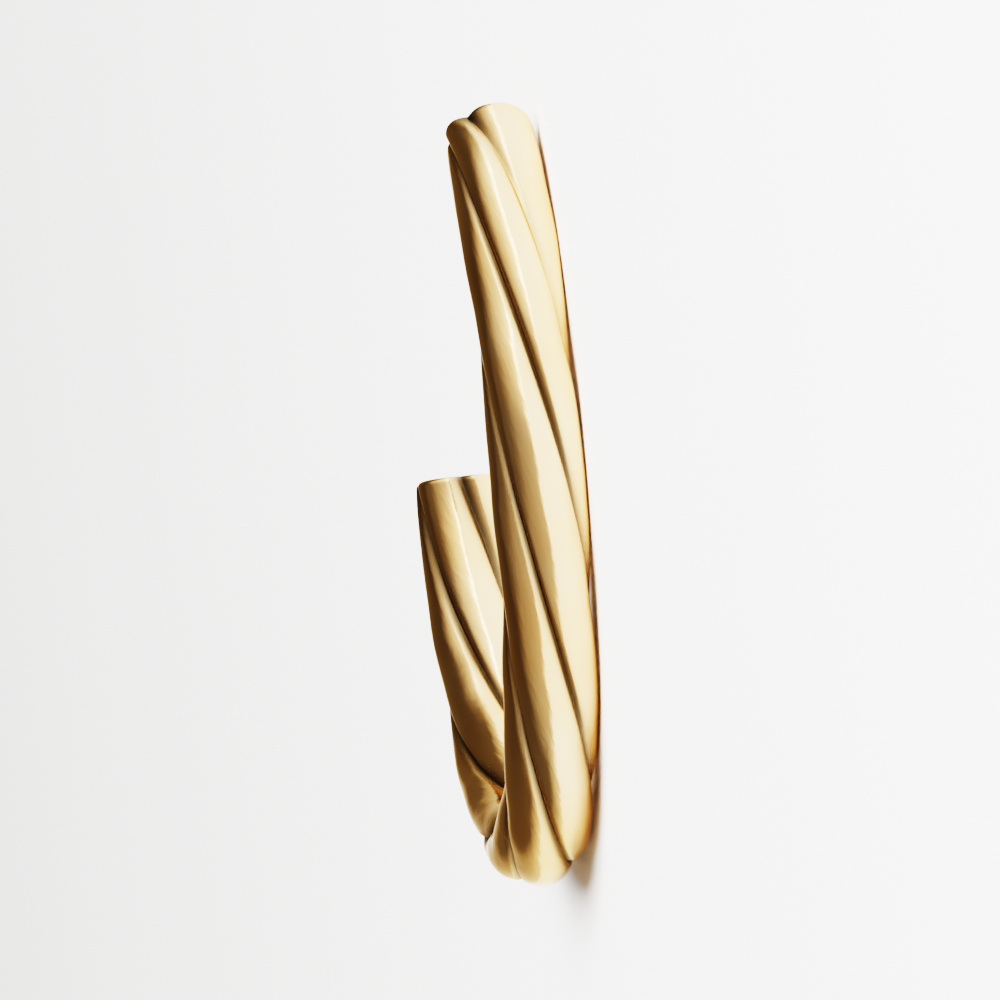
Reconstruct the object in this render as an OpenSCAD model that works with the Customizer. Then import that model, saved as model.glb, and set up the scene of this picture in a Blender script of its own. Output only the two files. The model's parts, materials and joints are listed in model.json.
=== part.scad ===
// Twisted hoop earring, lying on its side.
// A C-shaped tube with lobes that spiral round it, and the straight post at its front end.
// The hoop's plane is the XY plane. As worn, +X is up and +Y is the way that the post points.
// Places round the hoop are angles from the back (+Y) over the top (+X): 180 is the front, 270 the bottom.
// The origin is under the middle of the hoop's box, on the surface that the hoop lies on.

/* [Hoop] */
// Radius of the circle along the middle of the tube
hoop_r = 15.3; // [13:0.1:18]
// Place of the front end, where the post is
front_end_place = 132; // [125:0.5:140]
// Place of the free back end
back_end_place = 355; // [300:1:360]

/* [Tube] */
// Diameter over the crests of the lobes
tube_d = 3.65; // [3:0.05:4.5]
// Number of lobes round the tube
lobe_count = 4; // [3:1:6]
// Depth of the grooves between the lobes
groove_depth = 0.25; // [0.15:0.05:0.4]
// Degrees round the hoop in which the lobes make one full left-handed turn
twist_lead = 148; // [120:2:200]
// A place where a groove faces straight outwards
groove_place = 169; // [140:1:200]
// Width of the bevel round the two flat ends
end_bevel = 0.12; // [0.05:0.01:0.2]

/* [Post] */
// Diameter of the post
post_d = 0.9; // [0.7:0.05:1.1]
// Length of the post from the middle of the hoop's front end to its tip
post_length = 11; // [9:0.5:12]
// How far the solder foot climbs the post
foot_height = 0.8; // [0.7:0.05:1]
// How much wider the solder foot's radius gets for each millimetre down
foot_flare = 0.25; // [0.15:0.05:0.3]
// Gap between the solder foot and the hoop's front end
foot_gap = 0.02; // [0.02:0.01:0.05]

/* [Mesh] */
// Points in one outline of the tube, shared by its lobes
outline_points = 48; // [24:1:50]
// Outlines along the tube between its two bevels
outline_count = 110; // [60:1:120]

/* [Hidden] */
gold = [0.86, 0.67, 0.36];
pale_gold = [0.88, 0.73, 0.45];

crest_r = tube_d / 2;
groove_r = crest_r - groove_depth;
lobe_angle = 360 / lobe_count;
points_a_lobe = floor(outline_points / lobe_count);
column_count = points_a_lobe * lobe_count;
// A lobe's outline is one arc through its crest and the grooves on both sides of it
lobe_centre = (crest_r ^ 2 - groove_r ^ 2) / (2 * (crest_r - groove_r * cos(lobe_angle / 2)));
lobe_r = crest_r - lobe_centre;

// Angle of column c round the tube, from the first groove
function column_angle(c) = c * lobe_angle / points_a_lobe;

// Distance of column c from the middle of the tube
function column_r(c) =
    let (from_crest = column_angle(c % points_a_lobe) - lobe_angle / 2)
    lobe_centre * cos(from_crest) + sqrt(lobe_r ^ 2 - (lobe_centre * sin(from_crest)) ^ 2);

// Middle of the tube at a place round the hoop
function tube_middle(place) = [hoop_r * sin(place), hoop_r * cos(place), 0];

// Point of column c at a place round the hoop, moved in towards the middle of the tube by inset
function tube_point(c, place, inset = 0) =
    let (
        r = column_r(c) - inset,
        // Angle round the tube, from straight outwards and over the -Z side
        turn = column_angle(c) + (place - groove_place) * 360 / twist_lead,
        reach = hoop_r + r * cos(turn)
    )
    [reach * sin(place), reach * cos(place), -r * sin(turn)];

columns = [0:column_count - 1];
function outline(place, inset = 0) = [for (c = columns) tube_point(c, place, inset)];

bevel_angle = end_bevel / hoop_r * 180 / PI;
first_place = front_end_place + bevel_angle;
last_place = back_end_place - bevel_angle;
place_step = (last_place - first_place) / (outline_count - 1);
outlines = concat(
    [outline(front_end_place, end_bevel)],
    [for (k = [0:outline_count - 1]) outline(first_place + k * place_step)],
    [outline(back_end_place, end_bevel)]
);
front_middle = tube_middle(front_end_place);
back_middle = tube_middle(back_end_place);
hoop_points = concat([for (ring = outlines) each ring], [front_middle, back_middle]);

last_outline = len(outlines) - 1;
front_middle_index = len(outlines) * column_count;
back_middle_index = front_middle_index + 1;

// Index of column c in outline k, where the column after the last is the first again
function at(k, c) = k * column_count + c % column_count;

hoop_faces = concat(
    [for (c = columns) [front_middle_index, at(0, c), at(0, c + 1)]],
    [for (k = [0:last_outline - 1], c = columns) [at(k, c), at(k + 1, c), at(k + 1, c + 1)]],
    [for (k = [0:last_outline - 1], c = columns) [at(k, c), at(k + 1, c + 1), at(k, c + 1)]],
    [for (c = columns) [back_middle_index, at(last_outline, c + 1), at(last_outline, c)]]
);

low_corner = [for (axis = [0:2]) min([for (p = hoop_points) p[axis]])];
high_corner = [for (axis = [0:2]) max([for (p = hoop_points) p[axis]])];
to_origin = [
    -(low_corner.x + high_corner.x) / 2,
    -(low_corner.y + high_corner.y) / 2,
    -low_corner.z
];

post_r = post_d / 2;
tip_steps = 6;
// The solder foot is made too long, then cut along the slanting front end of the hoop
foot_spare = 2;
cutter_size = 6;

// The tube, with its two flat soldered ends
module twisted_hoop() {
    color(gold)
        translate(to_origin)
            polyhedron(points = hoop_points, faces = hoop_faces);
}

// The post and its foot as turned shapes about the post's own axis
module turned_post() {
    foot_r = post_r + foot_flare * (foot_height + foot_spare);
    tip = [
        for (i = [0:tip_steps])
            let (a = 90 * i / tip_steps)
            [post_r * cos(a), post_length - post_r * (1 - sin(a))]
    ];
    rotate_extrude($fn = 48)
        polygon(concat([[0, -foot_spare], [foot_r, -foot_spare], [post_r, foot_height]], tip));
}

// A plain straight post with a rounded tip, whose foot lies along the hoop's front end
module ear_post() {
    color(pale_gold)
        translate(to_origin + front_middle)
            difference() {
                rotate([-90, 0, 0])
                    turned_post();
                rotate([0, 0, 90 - front_end_place])
                    translate([0, foot_gap - cutter_size / 2, 0])
                        cube(cutter_size, center = true);
            }
}

twisted_hoop();
ear_post();
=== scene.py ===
"""Looks of the twisted hoop earring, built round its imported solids. Lengths are in metres."""
import json
import math

import bpy
import numpy as np
from mathutils import Matrix, Vector


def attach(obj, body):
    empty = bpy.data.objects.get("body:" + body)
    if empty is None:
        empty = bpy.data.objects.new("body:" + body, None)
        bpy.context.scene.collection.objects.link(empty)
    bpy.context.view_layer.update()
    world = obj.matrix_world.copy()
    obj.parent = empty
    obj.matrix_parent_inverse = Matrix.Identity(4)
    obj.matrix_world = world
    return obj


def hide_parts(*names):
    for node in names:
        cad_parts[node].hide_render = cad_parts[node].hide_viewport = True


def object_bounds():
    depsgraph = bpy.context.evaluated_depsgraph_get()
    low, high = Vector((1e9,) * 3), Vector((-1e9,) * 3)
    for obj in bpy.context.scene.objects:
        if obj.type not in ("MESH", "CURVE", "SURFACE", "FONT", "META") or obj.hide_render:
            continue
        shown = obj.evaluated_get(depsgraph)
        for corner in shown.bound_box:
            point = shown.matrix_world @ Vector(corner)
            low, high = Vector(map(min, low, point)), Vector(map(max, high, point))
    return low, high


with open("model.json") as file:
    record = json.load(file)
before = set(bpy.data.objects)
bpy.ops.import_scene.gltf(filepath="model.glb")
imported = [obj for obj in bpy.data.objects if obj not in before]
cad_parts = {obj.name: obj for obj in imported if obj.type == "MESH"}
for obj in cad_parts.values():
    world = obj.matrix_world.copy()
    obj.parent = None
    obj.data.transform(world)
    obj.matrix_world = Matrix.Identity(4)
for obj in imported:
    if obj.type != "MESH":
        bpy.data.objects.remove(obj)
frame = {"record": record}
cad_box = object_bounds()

MM = 0.001

# The hoop and its tube, as in the solids. A place round the hoop is an angle from +Y over +X,
# and a turn is an angle round the tube from straight outwards over the -Z side.
HOOP_R = 15.3 * MM
FRONT_END = math.radians(132)
BACK_END = math.radians(355)
CREST_R = 3.65 * MM / 2
GROOVE_R = CREST_R - 0.25 * MM
LOBES = 4
LOBE_ANGLE = 2 * math.pi / LOBES
GROOVE_PLACE = math.radians(169)
# The lobes make one full turn in 148 degrees of the hoop
TWIST = 360 / 148

# Mesh of the tube
POINTS_A_LOBE = 32
OUTLINES = 680
EDGE_R = 0.2 * MM
EDGE_STEPS = 5

# A crease runs along the bottom of each groove. The shade painted in it is a little wider.
CREASE_DEPTH = 0.11 * MM
CREASE_WIDTH = math.radians(4.4)
GROOVE_SHADE_SPREAD = 1.6
# All creases get wider and deeper towards the back end, by these shares at the end itself
BACK_SPREAD = 1.1
BACK_STRENGTH = 0.5
BACK_REACH = math.radians(30)
# The groove that meets the front end near its outside lags behind the others, and catches up
# between these places
LAG = math.radians(20)
LAG_ENDS = math.radians(165), math.radians(200)
# Close to the end it lags further still, in a wide and deep hook
HOOK = math.radians(22)
HOOK_REACH = math.radians(5)
HOOK_SPREAD = 2.5
HOOK_STRENGTH = 1.3
# Beyond the hook it is faint, and gains its full strength between these places
FAINT_STRENGTH = 0.4
FAINT_ENDS = math.radians(160), math.radians(180)

# Waves of a tube twisted by hand: each one's share of the height, how fast its phase grows with
# the place and with the turn, and the phase that it starts with
WAVE_HEIGHT = 0.013 * MM
WAVES = [(1, 18.2, 2, 0), (0.7, 15.7, -3, 1.3), (0.5, 31.0, 1, 0.4)]

# The end discs: a fine solder seam inside the rim, and the disc's middle a little lower.
# The shares are of the outline inside the rounded edge.
RIM_SHARE = 0.985
SEAM_SHARE = 0.84
CENTRE_SHARE = 0.45
SEAM_WIDTH = 0.045 * MM
SEAM_DEPTH = 0.03 * MM
DISC_DROP = 0.15 * SEAM_DEPTH
# The seam's profile: the depth, and how far outside the seam's middle in seam widths
SEAM_PROFILE = [(0, 1), (SEAM_DEPTH, 0.3), (SEAM_DEPTH, -0.3), (DISC_DROP, -1), (DISC_DROP, -1.6)]

# The post. Its foot's side is a curve that bends most at the knee, near the front end's plane.
POST_SIDES = 72
FOOT_HEIGHT = 0.8 * MM
FOOT_SPREAD = 1.65
FOOT_CLEARANCE = 0.03 * MM
FOOT_RINGS = 14
KNEE_SPREAD = 1.05
KNEE_HEIGHT = 0.15 * MM
SHANK_RINGS = 40
TIP_RINGS = 10

# Gold plating: its palest and deepest tint, and its roughness
HOOP_PALE = (1.0, 0.655, 0.345)
HOOP_DEEP = (0.97, 0.58, 0.265)
HOOP_ROUGHNESS = 0.11
POST_PALE = (1.0, 0.72, 0.42)
POST_DEEP = (0.97, 0.65, 0.34)
POST_ROUGHNESS = 0.2
# Shade is painted into the grooves with this dark colour, and the metal there is duller by this much up
# to a limit
GROOVE_PAINTED_SHADE = (0.13, 0.1, 0.06)
GROOVE_DULLNESS = 0.35
DULLEST = 0.6
# Gold keeps some of its colour where it is seen at a grazing angle
GRAZING_TINT = (1.0, 0.82, 0.58, 1.0)

# Scales of the noises in the gold
TINT_SCALE = 240.0
SMEAR_SCALE = 900.0
LINE_SCALE = 14.0
HOLLOW_SCALE = 1.9
# Scales by axis, which draw polish lines and hollows out along the tube or the post
LINES_ON_TUBE = (1.0, 1.0, 0.035)
LINES_ON_POST = (1000.0, 25.0, 1000.0)
HOLLOWS_ON_TUBE = (1.0, 1.0, 0.35)
LINE_DEPTH = 0.05 * MM
LINE_STRENGTH = 0.05
HOLLOW_DEPTH = 0.02 * MM
# Polish lines multiply the roughness by a number in this range, and smears add one in this range
LINE_ROUGHNESS = 0.8, 1.2
SMEAR_ROUGHNESS = -0.02, 0.05

# The floor is a hair below the earring
FLOOR_SIZE = 5.0
FLOOR_DROP = 0.005 * MM
FLOOR_TINTS = (0.80, 0.80, 0.80), (0.84, 0.84, 0.84)
FLOOR_SCALE = 30.0
FLOOR_ROUGHNESS = 0.9

# Lamps: name, azimuth, elevation, size and power
LAMPS = [("front_fill", 25, 30, (0.5, 0.35), 17), ("top_fill", 60, 65, (0.6, 0.6), 4)]
LAMP_DISTANCE = 0.8

# Colours of the surroundings by height, from 0 on the horizon to 1 overhead
OVERHEAD = 1.0, (0.032, 0.03, 0.027)
BRIGHT_SIDE = [
    (0.0, (1.4, 1.36, 1.3)),
    (0.11, (1.05, 1.0, 0.94)),
    (0.20, (0.46, 0.423, 0.373)),
    (0.5, (0.30, 0.276, 0.243)),
    (0.8, (0.17, 0.156, 0.138)),
    OVERHEAD,
]
DIM_SIDE = [
    (0.0, (0.30, 0.279, 0.246)),
    (0.12, (0.15, 0.139, 0.123)),
    (0.5, (0.11, 0.102, 0.09)),
    (0.8, (0.08, 0.074, 0.066)),
    OVERHEAD,
]
FAR_SIDE = [
    (0.0, (0.27, 0.255, 0.23)),
    (0.12, (0.15, 0.14, 0.122)),
    (0.3, (0.035, 0.032, 0.027)),
    (0.93, (0.018, 0.016, 0.013)),
    OVERHEAD,
]
# Where a side turns into the next: the dim one into the bright one with X, and both into the far
# one with Y
BRIGHT_FROM_TO = 0.0, 0.6
FAR_FROM_TO = -0.3, 0.3
SURROUND_STRENGTH = 3.0

# Camera: the photo's view of the hoop, nearly edge-on, turned so that the worn top is up
CAMERA_ELEVATION = 5.66
WORN_LEAN = math.radians(5.8)
LENS = 900
SENSOR = 36
VIEW_WIDTH = 38 * MM
NEAREST, FARTHEST = 0.01, 10
EXPOSURE = 0.47

record = frame["record"]
post_mount = next(m for m in record["mounts"] if m["name"] == "post")
POST_R = post_mount["dims"]["r_mm"] * MM
POST_LENGTH = post_mount["dims"]["length_mm"] * MM + FOOT_HEIGHT + POST_R
post_middle = Vector(post_mount["pos_m"]) - Vector((0, FOOT_HEIGHT, 0))
hoop_middle = post_middle - HOOP_R * Vector((math.sin(FRONT_END), math.cos(FRONT_END), 0))


def smooth_step(value, low, high):
    share = np.clip((value - low) / (high - low), 0, 1)
    return share * share * (3 - 2 * share)


def groove_turns(places):
    """Turn of each groove at each place, in falling order, with the first one again at the end."""
    first = (places - GROOVE_PLACE) * TWIST + LOBE_ANGLE
    turns = first[:, None] - np.arange(LOBES + 1)[None, :] * LOBE_ANGLE
    lag = LAG * (1 - smooth_step(places, *LAG_ENDS))
    lag += HOOK * np.exp(-(places - FRONT_END) / HOOK_REACH)
    turns[:, 0] -= lag
    turns[:, -1] -= lag
    return turns


def tube_outline(places):
    """Turn and radius of every column of points at each place, its angle from the nearest groove
    in crease widths, and that groove's strength."""
    share = np.sin(np.linspace(-1, 1, POINTS_A_LOBE, endpoint=False) * math.pi / 2)
    grooves = groove_turns(places)
    hook = np.exp(-(places - FRONT_END) / HOOK_REACH)[:, None]
    faint = FAINT_STRENGTH + (1 - FAINT_STRENGTH) * smooth_step(places, *FAINT_ENDS)[:, None]
    back = np.exp((places - BACK_END) / BACK_REACH)[:, None]
    columns = []
    for k in range(LOBES):
        middle = (grooves[:, k] + grooves[:, k + 1]) / 2
        half = (grooves[:, k] - grooves[:, k + 1]) / 2
        from_crest = half[:, None] * share
        # One arc through the lobe's crest and the grooves on both sides of it
        centre = (CREST_R**2 - GROOVE_R**2) / (2 * (CREST_R - GROOVE_R * np.cos(half)))[:, None]
        arc = CREST_R - centre
        radius = centre * np.cos(from_crest) + np.sqrt(arc**2 - (centre * np.sin(from_crest)) ** 2)
        # The lagging groove is on one side of the first lobe and on the other side of the last
        lagging = ((share < 0) & (k == 0) | (share > 0) & (k == LOBES - 1))[None, :]
        width = CREASE_WIDTH * (1 + HOOK_SPREAD * hook * lagging + BACK_SPREAD * back)
        strength = np.where(lagging, np.maximum(faint, HOOK_STRENGTH * hook), 1)
        strength = strength + BACK_STRENGTH * back
        away = (half[:, None] - np.abs(from_crest)) / width
        columns.append((middle[:, None] - from_crest, radius, away, strength))
    turn, radius, away, strength = (np.hstack(part) for part in zip(*columns))
    radius = radius - CREASE_DEPTH * strength * np.exp(-(away**2))
    return turn, radius, away, strength


def wave_height(places, turn):
    """Height of the waves over the plain tube, which is zero or less, so they only go inwards."""
    waves = sum(
        share * np.sin(by_place * places[:, None] + by_turn * turn + phase)
        for share, by_place, by_turn, phase in WAVES
    )
    return WAVE_HEIGHT * (waves - sum(share for share, _, _, _ in WAVES))


def end_rings():
    """The rings of one end, from the tube's side to the middle of the disc: how far in from the end
    each one is, how much narrower than the tube, and its share of what is left."""
    bends = np.linspace(0, math.pi / 2, EDGE_STEPS + 1)[1:]
    seam_width = SEAM_WIDTH / CREST_R
    rings = [(EDGE_R * (1 - math.sin(b)), EDGE_R * (1 - math.cos(b)), 1) for b in bends]
    rings.append((0, EDGE_R, RIM_SHARE))
    rings += [(depth, EDGE_R, SEAM_SHARE + across * seam_width) for depth, across in SEAM_PROFILE]
    rings.append((DISC_DROP, EDGE_R, CENTRE_SHARE))
    return np.array(rings).T


def grid_mesh(name, rings):
    """A closed mesh from rings of points with equal counts, with a fan over each end."""
    count, size = rings.shape[:2]
    k, c = np.meshgrid(np.arange(count - 1), np.arange(size), indexing="ij")
    right = (c + 1) % size
    faces = [k * size + c, k * size + right, (k + 1) * size + right, (k + 1) * size + c]
    faces = np.stack(faces, -1).reshape(-1, 4).tolist()
    first = count * size
    start = (count - 1) * size
    faces += [[first, (i + 1) % size, i] for i in range(size)]
    faces += [[first + 1, start + i, start + (i + 1) % size] for i in range(size)]
    points = np.vstack([rings.reshape(-1, 3), rings[0].mean(0), rings[-1].mean(0)])
    mesh = bpy.data.meshes.new(name)
    mesh.from_pydata(points.tolist(), [], faces)
    mesh.validate()
    mesh.update()
    mesh.shade_smooth()
    return mesh


def add_attribute(mesh, name, kind, values):
    """A point attribute for a material to read."""
    field = "vector" if kind == "FLOAT_VECTOR" else "value"
    attribute = mesh.attributes.new(name, kind, "POINT")
    attribute.data.foreach_set(field, np.ascontiguousarray(values, np.float32).ravel())


def new_piece(name, mesh, material, node):
    """A mesh object that rides on the earring's one body and stands for a solid."""
    piece = bpy.data.objects.new(name, mesh)
    bpy.context.collection.objects.link(piece)
    mesh.materials.append(material)
    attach(piece, "root")
    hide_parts(node)
    return piece


def make_hoop(material):
    """The twisted tube with its creased grooves, and its two flat ends with rounded edges and
    soldered discs."""
    depth, narrower, share = end_rings()
    ends = len(depth)
    edge = EDGE_R / HOOP_R
    body = np.linspace(FRONT_END + edge, BACK_END - edge, OUTLINES)
    front = (FRONT_END + depth / HOOP_R)[::-1]
    back = BACK_END - depth / HOOP_R
    places = np.concatenate([front, body, back])
    turn, radius, away, strength = tube_outline(np.clip(places, body[0], body[-1]))
    radius = radius + wave_height(places, turn)
    radius[:ends] = (radius[:ends] - narrower[::-1, None]) * share[::-1, None]
    radius[-ends:] = (radius[-ends:] - narrower[:, None]) * share[:, None]

    reach = HOOP_R + radius * np.cos(turn)
    x, y = np.sin(places)[:, None], np.cos(places)[:, None]
    rings = np.stack([reach * x, reach * y, -radius * np.sin(turn)], -1) + np.array(hoop_middle)
    mesh = grid_mesh("twisted_hoop_look", rings)

    # The straightened and untwisted tube, in millimetres, for polish lines that follow the lobes
    untwisted = turn - (places[:, None] - GROOVE_PLACE) * TWIST
    along = np.repeat(places[:, None] * HOOP_R, radius.shape[1], 1)
    straight = np.stack([radius * np.cos(untwisted), radius * np.sin(untwisted), along], -1) / MM
    middles = [[0, 0, places[0] * HOOP_R / MM], [0, 0, places[-1] * HOOP_R / MM]]
    add_attribute(mesh, "straight", "FLOAT_VECTOR", np.vstack([straight.reshape(-1, 3), middles]))

    # How much painted shade and dullness of the groove a point has: none on the discs, whose two middles
    # come last
    groove = np.minimum(strength, 1) * np.exp(-((away / GROOVE_SHADE_SPREAD) ** 2))
    groove[: ends - EDGE_STEPS] = 0
    groove[EDGE_STEPS - ends :] = 0
    add_attribute(mesh, "groove", "FLOAT", np.append(groove.ravel(), [0, 0]))
    return new_piece("twisted_hoop_look", mesh, material, "twisted_hoop")


def make_post(material):
    """The straight post, with a hollow-sided solder foot on the slanting front end and a round tip."""
    around = np.linspace(0, 2 * math.pi, POST_SIDES, endpoint=False)
    slope = -math.tan(FRONT_END - math.pi / 2)
    straight_end = POST_LENGTH - POST_R

    def ring(radius, height):
        return np.stack([radius * np.cos(around), height + 0 * around, -radius * np.sin(around)], -1)

    def curve(t, start, knee, end):
        return (1 - t) ** 2 * start + 2 * t * (1 - t) * knee + t**2 * end

    rings = []
    for t in np.linspace(0, 1, FOOT_RINGS):
        radius = curve(t, FOOT_SPREAD * POST_R, KNEE_SPREAD * POST_R, POST_R)
        low = slope * radius * np.cos(around) + FOOT_CLEARANCE
        rings.append(ring(radius, curve(t, low, low + KNEE_HEIGHT, FOOT_HEIGHT)))
    for height in np.linspace(FOOT_HEIGHT, straight_end, SHANK_RINGS)[1:]:
        rings.append(ring(POST_R, height))
    for bend in np.linspace(0, math.pi / 2, TIP_RINGS)[1:-1]:
        rings.append(ring(POST_R * math.cos(bend), straight_end + POST_R * math.sin(bend)))
    mesh = grid_mesh("ear_post_look", np.array(rings) + np.array(post_middle))
    return new_piece("ear_post_look", mesh, material, "ear_post")


class Nodes:
    """Adds nodes to a material or world and links them."""

    def __init__(self, owner):
        owner.use_nodes = True
        self.tree = owner.node_tree
        self.tree.nodes.clear()

    def add(self, kind, inputs=None, **settings):
        node = self.tree.nodes.new(kind)
        for name, value in settings.items():
            setattr(node, name, value)
        for name, value in (inputs or {}).items():
            socket = node.inputs[name]
            if isinstance(value, bpy.types.NodeSocket):
                self.tree.links.new(value, socket)
            else:
                socket.default_value = value
        return node

    def ramp(self, factor, stops):
        node = self.add("ShaderNodeValToRGB", {"Fac": factor})
        elements = node.color_ramp.elements
        while len(elements) < len(stops):
            elements.new(0.5)
        for element, (position, colour) in zip(elements, stops):
            element.position = position
            element.color = (*colour, 1)
        return node.outputs["Color"]

    def map(self, value, low, high, to_low, to_high, kind="LINEAR"):
        inputs = {"Value": value, "From Min": low, "From Max": high, "To Min": to_low, "To Max": to_high}
        return self.add("ShaderNodeMapRange", inputs, interpolation_type=kind).outputs["Result"]

    def math(self, operation, a, b):
        return self.add("ShaderNodeMath", {0: a, 1: b}, operation=operation).outputs[0]

    def attribute(self, name, output):
        return self.add("ShaderNodeAttribute", attribute_name=name).outputs[output]

    def scaled(self, vector, scale):
        return self.add("ShaderNodeMapping", {"Vector": vector, "Scale": scale}).outputs["Vector"]

    def noise(self, vector, scale, detail):
        inputs = {"Vector": vector, "Scale": scale, "Detail": detail}
        return self.add("ShaderNodeTexNoise", inputs).outputs["Fac"]

    def bump(self, height, strength, distance, normal=None):
        inputs = {"Height": height, "Strength": strength, "Distance": distance}
        if normal:
            inputs["Normal"] = normal
        return self.add("ShaderNodeBump", inputs).outputs["Normal"]

    def mix(self, factor, a, b):
        node = self.add("ShaderNodeMix", data_type="RGBA")
        for index, value in ((0, factor), (6, a), (7, b)):
            if isinstance(value, bpy.types.NodeSocket):
                self.tree.links.new(value, node.inputs[index])
            else:
                node.inputs[index].default_value = value if index == 0 else (*value, 1)
        return node.outputs[2]


def gold_material(name, pale, deep, roughness, on_tube):
    """Polished gold: polish lines, smears and a faint change of tint, and on the tube the hollows
    of hand burnishing, duller metal in the grooves and shade painted into them."""
    material = bpy.data.materials.new(name)
    n = Nodes(material)
    place = n.add("ShaderNodeTexCoord").outputs["Object"]
    # A noise keeps near 0.5, so each range that is mapped is round that
    tint = n.noise(place, TINT_SCALE, detail=3.0)
    colour = n.mix(n.map(tint, 0.35, 0.65, 0.0, 1.0), deep, pale)
    if on_tube:
        straightened = n.attribute("straight", "Vector")
        drawn_out = n.scaled(straightened, LINES_ON_TUBE)
    else:
        drawn_out = n.scaled(place, LINES_ON_POST)
    lines = n.noise(drawn_out, LINE_SCALE, detail=4.0)
    smears = n.noise(place, SMEAR_SCALE, detail=4.0)
    lowest, highest = (roughness * share for share in LINE_ROUGHNESS)
    rough = n.math(
        "ADD",
        n.map(lines, 0.3, 0.7, lowest, highest),
        n.map(smears, 0.35, 0.7, *SMEAR_ROUGHNESS),
    )
    if on_tube:
        groove = n.attribute("groove", "Fac")
        # Shade is painted into the grooves: the colour turns dark brown along the groove mask
        colour = n.mix(groove, colour, GROOVE_PAINTED_SHADE)
        duller = n.math("ADD", rough, n.math("MULTIPLY", groove, GROOVE_DULLNESS))
        rough = n.math("MINIMUM", duller, DULLEST)
    normal = n.bump(lines, LINE_STRENGTH, LINE_DEPTH)
    if on_tube:
        hollows = n.noise(n.scaled(straightened, HOLLOWS_ON_TUBE), HOLLOW_SCALE, detail=2.0)
        normal = n.bump(hollows, 1.0, HOLLOW_DEPTH, normal)
    shader = n.add(
        "ShaderNodeBsdfPrincipled",
        {
            "Base Color": colour,
            "Roughness": rough,
            "Normal": normal,
            "Metallic": 1.0,
            "Specular Tint": GRAZING_TINT,
        },
    )
    n.add("ShaderNodeOutputMaterial", {"Surface": shader.outputs["BSDF"]})
    return material


def floor_material():
    """Pale matt floor with a very faint mottle."""
    material = bpy.data.materials.new("pale_floor")
    n = Nodes(material)
    place = n.add("ShaderNodeTexCoord").outputs["Object"]
    colour = n.mix(n.noise(place, FLOOR_SCALE, detail=2.0), *FLOOR_TINTS)
    inputs = {"Base Color": colour, "Roughness": FLOOR_ROUGHNESS}
    shader = n.add("ShaderNodeBsdfPrincipled", inputs)
    n.add("ShaderNodeOutputMaterial", {"Surface": shader.outputs["BSDF"]})
    return material


def make_floor():
    mesh = bpy.data.meshes.new("floor")
    half = FLOOR_SIZE / 2
    corners = [(-half, -half, 0), (half, -half, 0), (half, half, 0), (-half, half, 0)]
    mesh.from_pydata(corners, [], [(0, 1, 2, 3)])
    floor = bpy.data.objects.new("floor", mesh)
    floor.location.z = -FLOOR_DROP
    bpy.context.collection.objects.link(floor)
    mesh.materials.append(floor_material())


def outward(azimuth, elevation):
    """Unit vector from the earring, where azimuth 0 is the camera's side and 90 is +X."""
    a, e = math.radians(azimuth), math.radians(elevation)
    return Vector((math.sin(a) * math.cos(e), -math.cos(a) * math.cos(e), math.sin(e)))


def add_softbox(name, azimuth, elevation, size, power):
    """A soft studio lamp that faces the earring."""
    light = bpy.data.lights.new(name, "AREA")
    light.shape = "RECTANGLE"
    light.size, light.size_y = size
    light.energy = power
    lamp = bpy.data.objects.new(name, light)
    lamp.location = outward(azimuth, elevation) * LAMP_DISTANCE
    lamp.rotation_mode = "QUATERNION"
    lamp.rotation_quaternion = lamp.location.to_track_quat("Z", "Y")
    # The lamps light the floor. The gold reflects the surroundings and the floor alone.
    lamp.visible_glossy = False
    bpy.context.collection.objects.link(lamp)


def make_surroundings():
    """Surroundings that are bright low down on the worn-top side, and dark behind and overhead."""
    world = bpy.data.worlds.new("studio")
    bpy.context.scene.world = world
    n = Nodes(world)
    direction = n.add("ShaderNodeTexCoord").outputs["Generated"]
    parts = n.add("ShaderNodeSeparateXYZ", {"Vector": direction}).outputs
    bright, dim, far = (n.ramp(parts["Z"], side) for side in (BRIGHT_SIDE, DIM_SIDE, FAR_SIDE))
    near = n.mix(n.map(parts["X"], *BRIGHT_FROM_TO, 0.0, 1.0, "SMOOTHSTEP"), dim, bright)
    surround = n.mix(n.map(parts["Y"], *FAR_FROM_TO, 0.0, 1.0, "SMOOTHSTEP"), near, far)
    glow = n.add("ShaderNodeBackground", {"Color": surround, "Strength": SURROUND_STRENGTH})
    n.add("ShaderNodeOutputWorld", {"Surface": glow.outputs["Background"]})


def make_camera():
    """A long lens at the photo's angle to the hoop, just above the floor, rolled so that the worn
    top is up."""
    low, high = cad_box
    target = (low + high) / 2
    distance = LENS / SENSOR * VIEW_WIDTH
    back = outward(0, CAMERA_ELEVATION)
    data = bpy.data.cameras.new("camera")
    data.lens, data.sensor_width = LENS, SENSOR
    data.clip_start, data.clip_end = NEAREST, FARTHEST
    camera = bpy.data.objects.new("camera", data)
    bpy.context.collection.objects.link(camera)
    camera.location = target + back * distance
    level = (-back).to_track_quat("-Z", "Y").to_matrix()
    roll = Matrix.Rotation(-(math.pi / 2 + WORN_LEAN), 3, "Z")
    camera.rotation_mode = "QUATERNION"
    camera.rotation_quaternion = (level @ roll).to_quaternion()
    bpy.context.scene.camera = camera


def set_film_tones():
    """Film-like tones: bright gold turns cream and dark gold stays deep."""
    view = bpy.context.scene.view_settings
    view.view_transform = "Filmic"
    view.look = "Very High Contrast"
    view.exposure = EXPOSURE


make_hoop(gold_material("hoop_gold", HOOP_PALE, HOOP_DEEP, HOOP_ROUGHNESS, on_tube=True))
make_post(gold_material("post_gold", POST_PALE, POST_DEEP, POST_ROUGHNESS, on_tube=False))
make_floor()
for lamp in LAMPS:
    add_softbox(*lamp)
make_surroundings()
make_camera()
set_film_tones()
